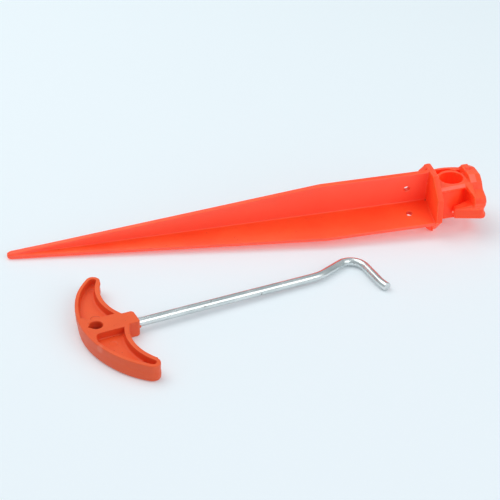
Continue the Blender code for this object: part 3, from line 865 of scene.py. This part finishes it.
def stake_plastic():
    n = Plastic("stake_plastic", STAKE_M.inverted(), base=(1.0, 0.100, 0.023),
                deep=(0.98, 0.078, 0.017), pale=(1.0, 0.165, 0.040),
                # rim is the colour of the painted highlight on sharp edges
                rim=(1.0, 0.20, 0.040), edge_glow_amount=0.75, flow_stretch=(9.0, 42.0, 42.0))
    s_at, _, v_at = n.split(n.vec)

    def above(value, limit):
        return n.math('GREATER_THAN', value, limit * MM)

    def head_front():
        return n.facing((0.0, -0.924, 0.383), 0.80, 0.92)

    # painted light: front-facing faces of the blade get a pinker colour, and the slightly raised
    # front facets of the head a deeper orange one
    on_head = above(s_at, HEAD - 0.3)
    off_head = n.minus(1.0, on_head)
    n.tint((1.0, 0.118, 0.070), n.times(n.facing((0.0, -1.0, 0.0), 0.70, 0.97), off_head), 0.8)
    n.tint((1.0, 0.060, 0.009), n.times(head_front(), on_head), 0.8)

    def zone(s_low, s_high, v_low):
        inside = n.times(above(s_at, HEAD + s_low),
                         n.math('LESS_THAN', s_at, (HEAD + s_high) * MM))
        return n.times(inside, above(v_at, v_low))

    # painted highlight: paler colour on the bevel of the neck plate and one facet of the cap,
    # both facing front and up
    bevel_highlight_zones = n.math('MAXIMUM', zone(4.6, 22.2, 14.2), zone(25.4, 30.0, 18.7))
    n.tint((1.0, 0.185, 0.120), n.times(n.facing((0.0, -0.7071, 0.7071), 0.88, 0.96), bevel_highlight_zones),
           0.7)

    # painted shade in hollows grows towards the flange, and is middling on the head
    blade_shade, flange_shade, head_shade = 0.08, 0.80, 0.45
    near = n.times(n.minus(s_at, (HEAD - 26.0) * MM), 1.0 / (24.0 * MM), clamp=True)
    grown = n.plus(n.times(near, flange_shade - blade_shade), blade_shade)
    n.darken_hollows_by = n.minus(grown, n.times(above(s_at, HEAD + 1.0),
                                                 flange_shade - head_shade))
    n.darken_hollows(n.darken_hollows_by)
    n.spots(STAKE_SPOTS)
    n.surface(rough=0.38, subsurface=0.20, grain=1.0)
    # painted glow: red emission on downward faces and the head's front facets, and a little all
    # over
    light = n.underside(0.20)
    light = n.plus(light, n.times(head_front(), 0.07))
    n.set("Emission Strength", n.plus(light, 0.14))
    return n.mat


def grip_plastic():
    # pale is real tone and scratch colour, and also the colour of the painted highlight on sharp
    # edges
    pale = (0.98, 0.165, 0.048)
    n = Plastic("handle_plastic", PULLER_M.inverted(), base=(0.95, 0.121, 0.020),
                deep=(0.85, 0.094, 0.014), pale=pale, rim=pale, edge_glow_amount=0.55,
                flow_stretch=(30.0, 30.0, 60.0))
    # painted shade: upright walls get a darker colour than the top and bottom faces
    level = n.plus(n.facing((0.0, 0.0, 1.0), 0.25, 0.60), n.facing((0.0, 0.0, -1.0), 0.25, 0.60))
    n.tint((0.80, 0.102, 0.028), n.minus(1.0, level, clamp=True), 0.85)
    # painted shade in hollows
    n.darken_hollows(0.55)
    n.rings([((x, y, WEB_TOP), radius, strength) for x, y, radius, strength in EJECT],
            width=0.34)
    n.spots(GRIP_SPOTS)
    n.surface(rough=0.46, subsurface=0.10, grain=1.3)
    # painted glow: a faint red emission all over, none added on the underside
    n.set("Emission Strength", n.plus(n.underside(0.0), 0.02))
    return n.mat


def steel():
    """Bright drawn wire: long drawing lines, patchy sheen and small nicks."""
    n = Nodes("rod_steel")
    wire = n.new("Attribute")
    wire.attribute_name = "wire"
    vec = wire.outputs["Vector"]
    lines = n.noise(vec, detail=3.0, rough=0.6, stretch=(14.0, 2600.0, 2600.0))
    broad = n.noise(vec, detail=3.0, rough=0.6, stretch=(60.0, 900.0, 900.0))
    patch = n.noise(vec, detail=4.0, rough=0.6, distort=0.8, stretch=(70.0, 260.0, 260.0))
    fine = n.noise(vec, scale=3000.0, rough=0.6)
    n.colour = n.mix(n.rise(patch, 0.35, 0.7), (0.63, 0.67, 0.665), (0.80, 0.815, 0.81))
    n.tint((0.36, 0.38, 0.38), n.rise(lines, 0.60, 0.72), 0.45)
    nick = n.noise(vec, rough=0.4, stretch=(420.0, 520.0, 520.0))
    nick = n.rise(nick, 0.70, 0.74)
    n.tint((0.17, 0.17, 0.17), nick, 0.7)
    n.set("Base Color", n.colour)
    n.set("Metallic", 1.0)
    rough = n.plus(n.swing(patch, 0.25), 0.24)
    n.set("Roughness", n.plus(rough, n.times(nick, 0.25), clamp=True))
    n.bump([(lines, 0.00004, 0.35), (broad, 0.00008, 0.30), (nick, -0.00012, 0.8),
            (fine, 0.00001, 0.4)])
    return n.mat


def table_paper():
    """Pale surface, painted a little brighter to the back, with a painted glow standing in for a
    translucent table lit from below.
    """
    n = Nodes("table_paper")
    vec = n.coords()
    # painted light: the colour grows paler towards the back
    fade = n.plus(n.times(n.split(vec)[1], 1.1), 0.45, clamp=True)
    n.colour = n.ramp(fade, [(0.0, (0.755, 0.792, 0.826)), (1.0, (0.792, 0.846, 0.875))])
    n.tint((0.55, 0.57, 0.60), n.noise(vec, scale=5.0, detail=3.0), 0.03)
    n.set("Base Color", n.colour)
    # painted glow, which also lightens the shadows on the table
    n.set("Emission Color", (0.900, 0.960, 1.0))
    n.set("Emission Strength", 0.13)
    n.set("Roughness", 0.75)
    n.set("Specular IOR Level", 0.15)
    return n.mat


# ------------------------------------------------------------------ pieces
def place(name, me, matrix, body, node, mat):
    me.transform(matrix)
    me.materials.clear()
    me.materials.append(mat)
    me.shade_smooth()
    ob = add_object(name, me)
    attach(ob, body)
    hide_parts(node)


stake_mat = stake_plastic()
grip_mat = grip_plastic()
rod_mat = steel()

place("stake_moulding", stake_mesh(), STAKE_M, "stake", "stake_body", stake_mat)
place("puller_crescent", grip_mesh(), PULLER_M, "puller", "puller_handle",
      grip_mat)
place("puller_wire_hook", wire_mesh(), PULLER_M, "puller", "puller_hook_rod",
      rod_mat)


# ------------------------------------------------------------------ table, light, camera
def add_table():
    bm = bmesh.new()
    bmesh.ops.create_circle(bm, cap_ends=True, segments=96, radius=7.0)
    me = bpy.data.meshes.new("table")
    bm.to_mesh(me)
    bm.free()
    add_object("table", me)
    me.materials.append(table_paper())


def add_world():
    """Soft grey-blue surroundings, brighter overhead."""
    world = bpy.data.worlds.new("studio")
    scene.world = world
    world.use_nodes = True
    tree = world.node_tree
    background = tree.nodes["Background"]
    coords = tree.nodes.new("ShaderNodeTexCoord")
    split = tree.nodes.new("ShaderNodeSeparateXYZ")
    tree.links.new(coords.outputs["Generated"], split.inputs[0])
    ramp = tree.nodes.new("ShaderNodeValToRGB")
    fill_ramp(ramp.color_ramp, [(0.0, (0.40, 0.45, 0.475)), (0.35, (0.42, 0.475, 0.495)),
                                (0.75, (0.46, 0.515, 0.54)), (1.0, (0.50, 0.56, 0.59))])
    tree.links.new(split.outputs[2], ramp.inputs[0])
    tree.links.new(ramp.outputs[0], background.inputs["Color"])
    background.inputs["Strength"].default_value = 1.05


def add_softbox(name, at, aim, size, energy, color):
    light = bpy.data.lights.new(name, 'AREA')
    light.shape = 'RECTANGLE'
    light.size, light.size_y = size
    light.energy = energy
    light.color = color
    ob = add_object(name, light)
    ob.location = at
    ob.rotation_mode = 'QUATERNION'
    ob.rotation_quaternion = (Vector(aim) - Vector(at)).to_track_quat('-Z', 'Y')


def add_camera():
    data = bpy.data.cameras.new("camera")
    data.sensor_width = 36.0
    data.lens = 93.5774
    data.clip_start = 0.01
    data.clip_end = 50.0
    camera = add_object("camera", data)
    right = Vector((0.977707883, -0.208941356, 0.020755868))
    up = Vector((0.095598525, 0.530978481, 0.841975519))
    backward = Vector((-0.186944426, -0.821221871, 0.539116332))
    at = Vector((-163.870930645, -666.932674501, 468.927101859))     # mm
    rows = [(right[i], up[i], backward[i], at[i] * MM) for i in range(3)]
    camera.matrix_world = Matrix((*rows, (0, 0, 0, 1)))
    scene.camera = camera


add_table()
add_world()
add_softbox("softbox_key", at=(-0.60, 0.48, 1.50), aim=(0.0, 0.0, 0.0), size=(1.5, 1.4),
            energy=11.9, color=(1.0, 0.995, 0.985))
add_softbox("softbox_right", at=(0.86, -1.02, 0.92), aim=(0.0, 0.0, 0.02), size=(1.3, 1.35),
            energy=7.6, color=(1.0, 1.0, 1.0))
add_camera()

scene.view_settings.view_transform = 'Standard'
scene.view_settings.look = 'None'
scene.view_settings.exposure = 0.0
scene.view_settings.gamma = 1.0
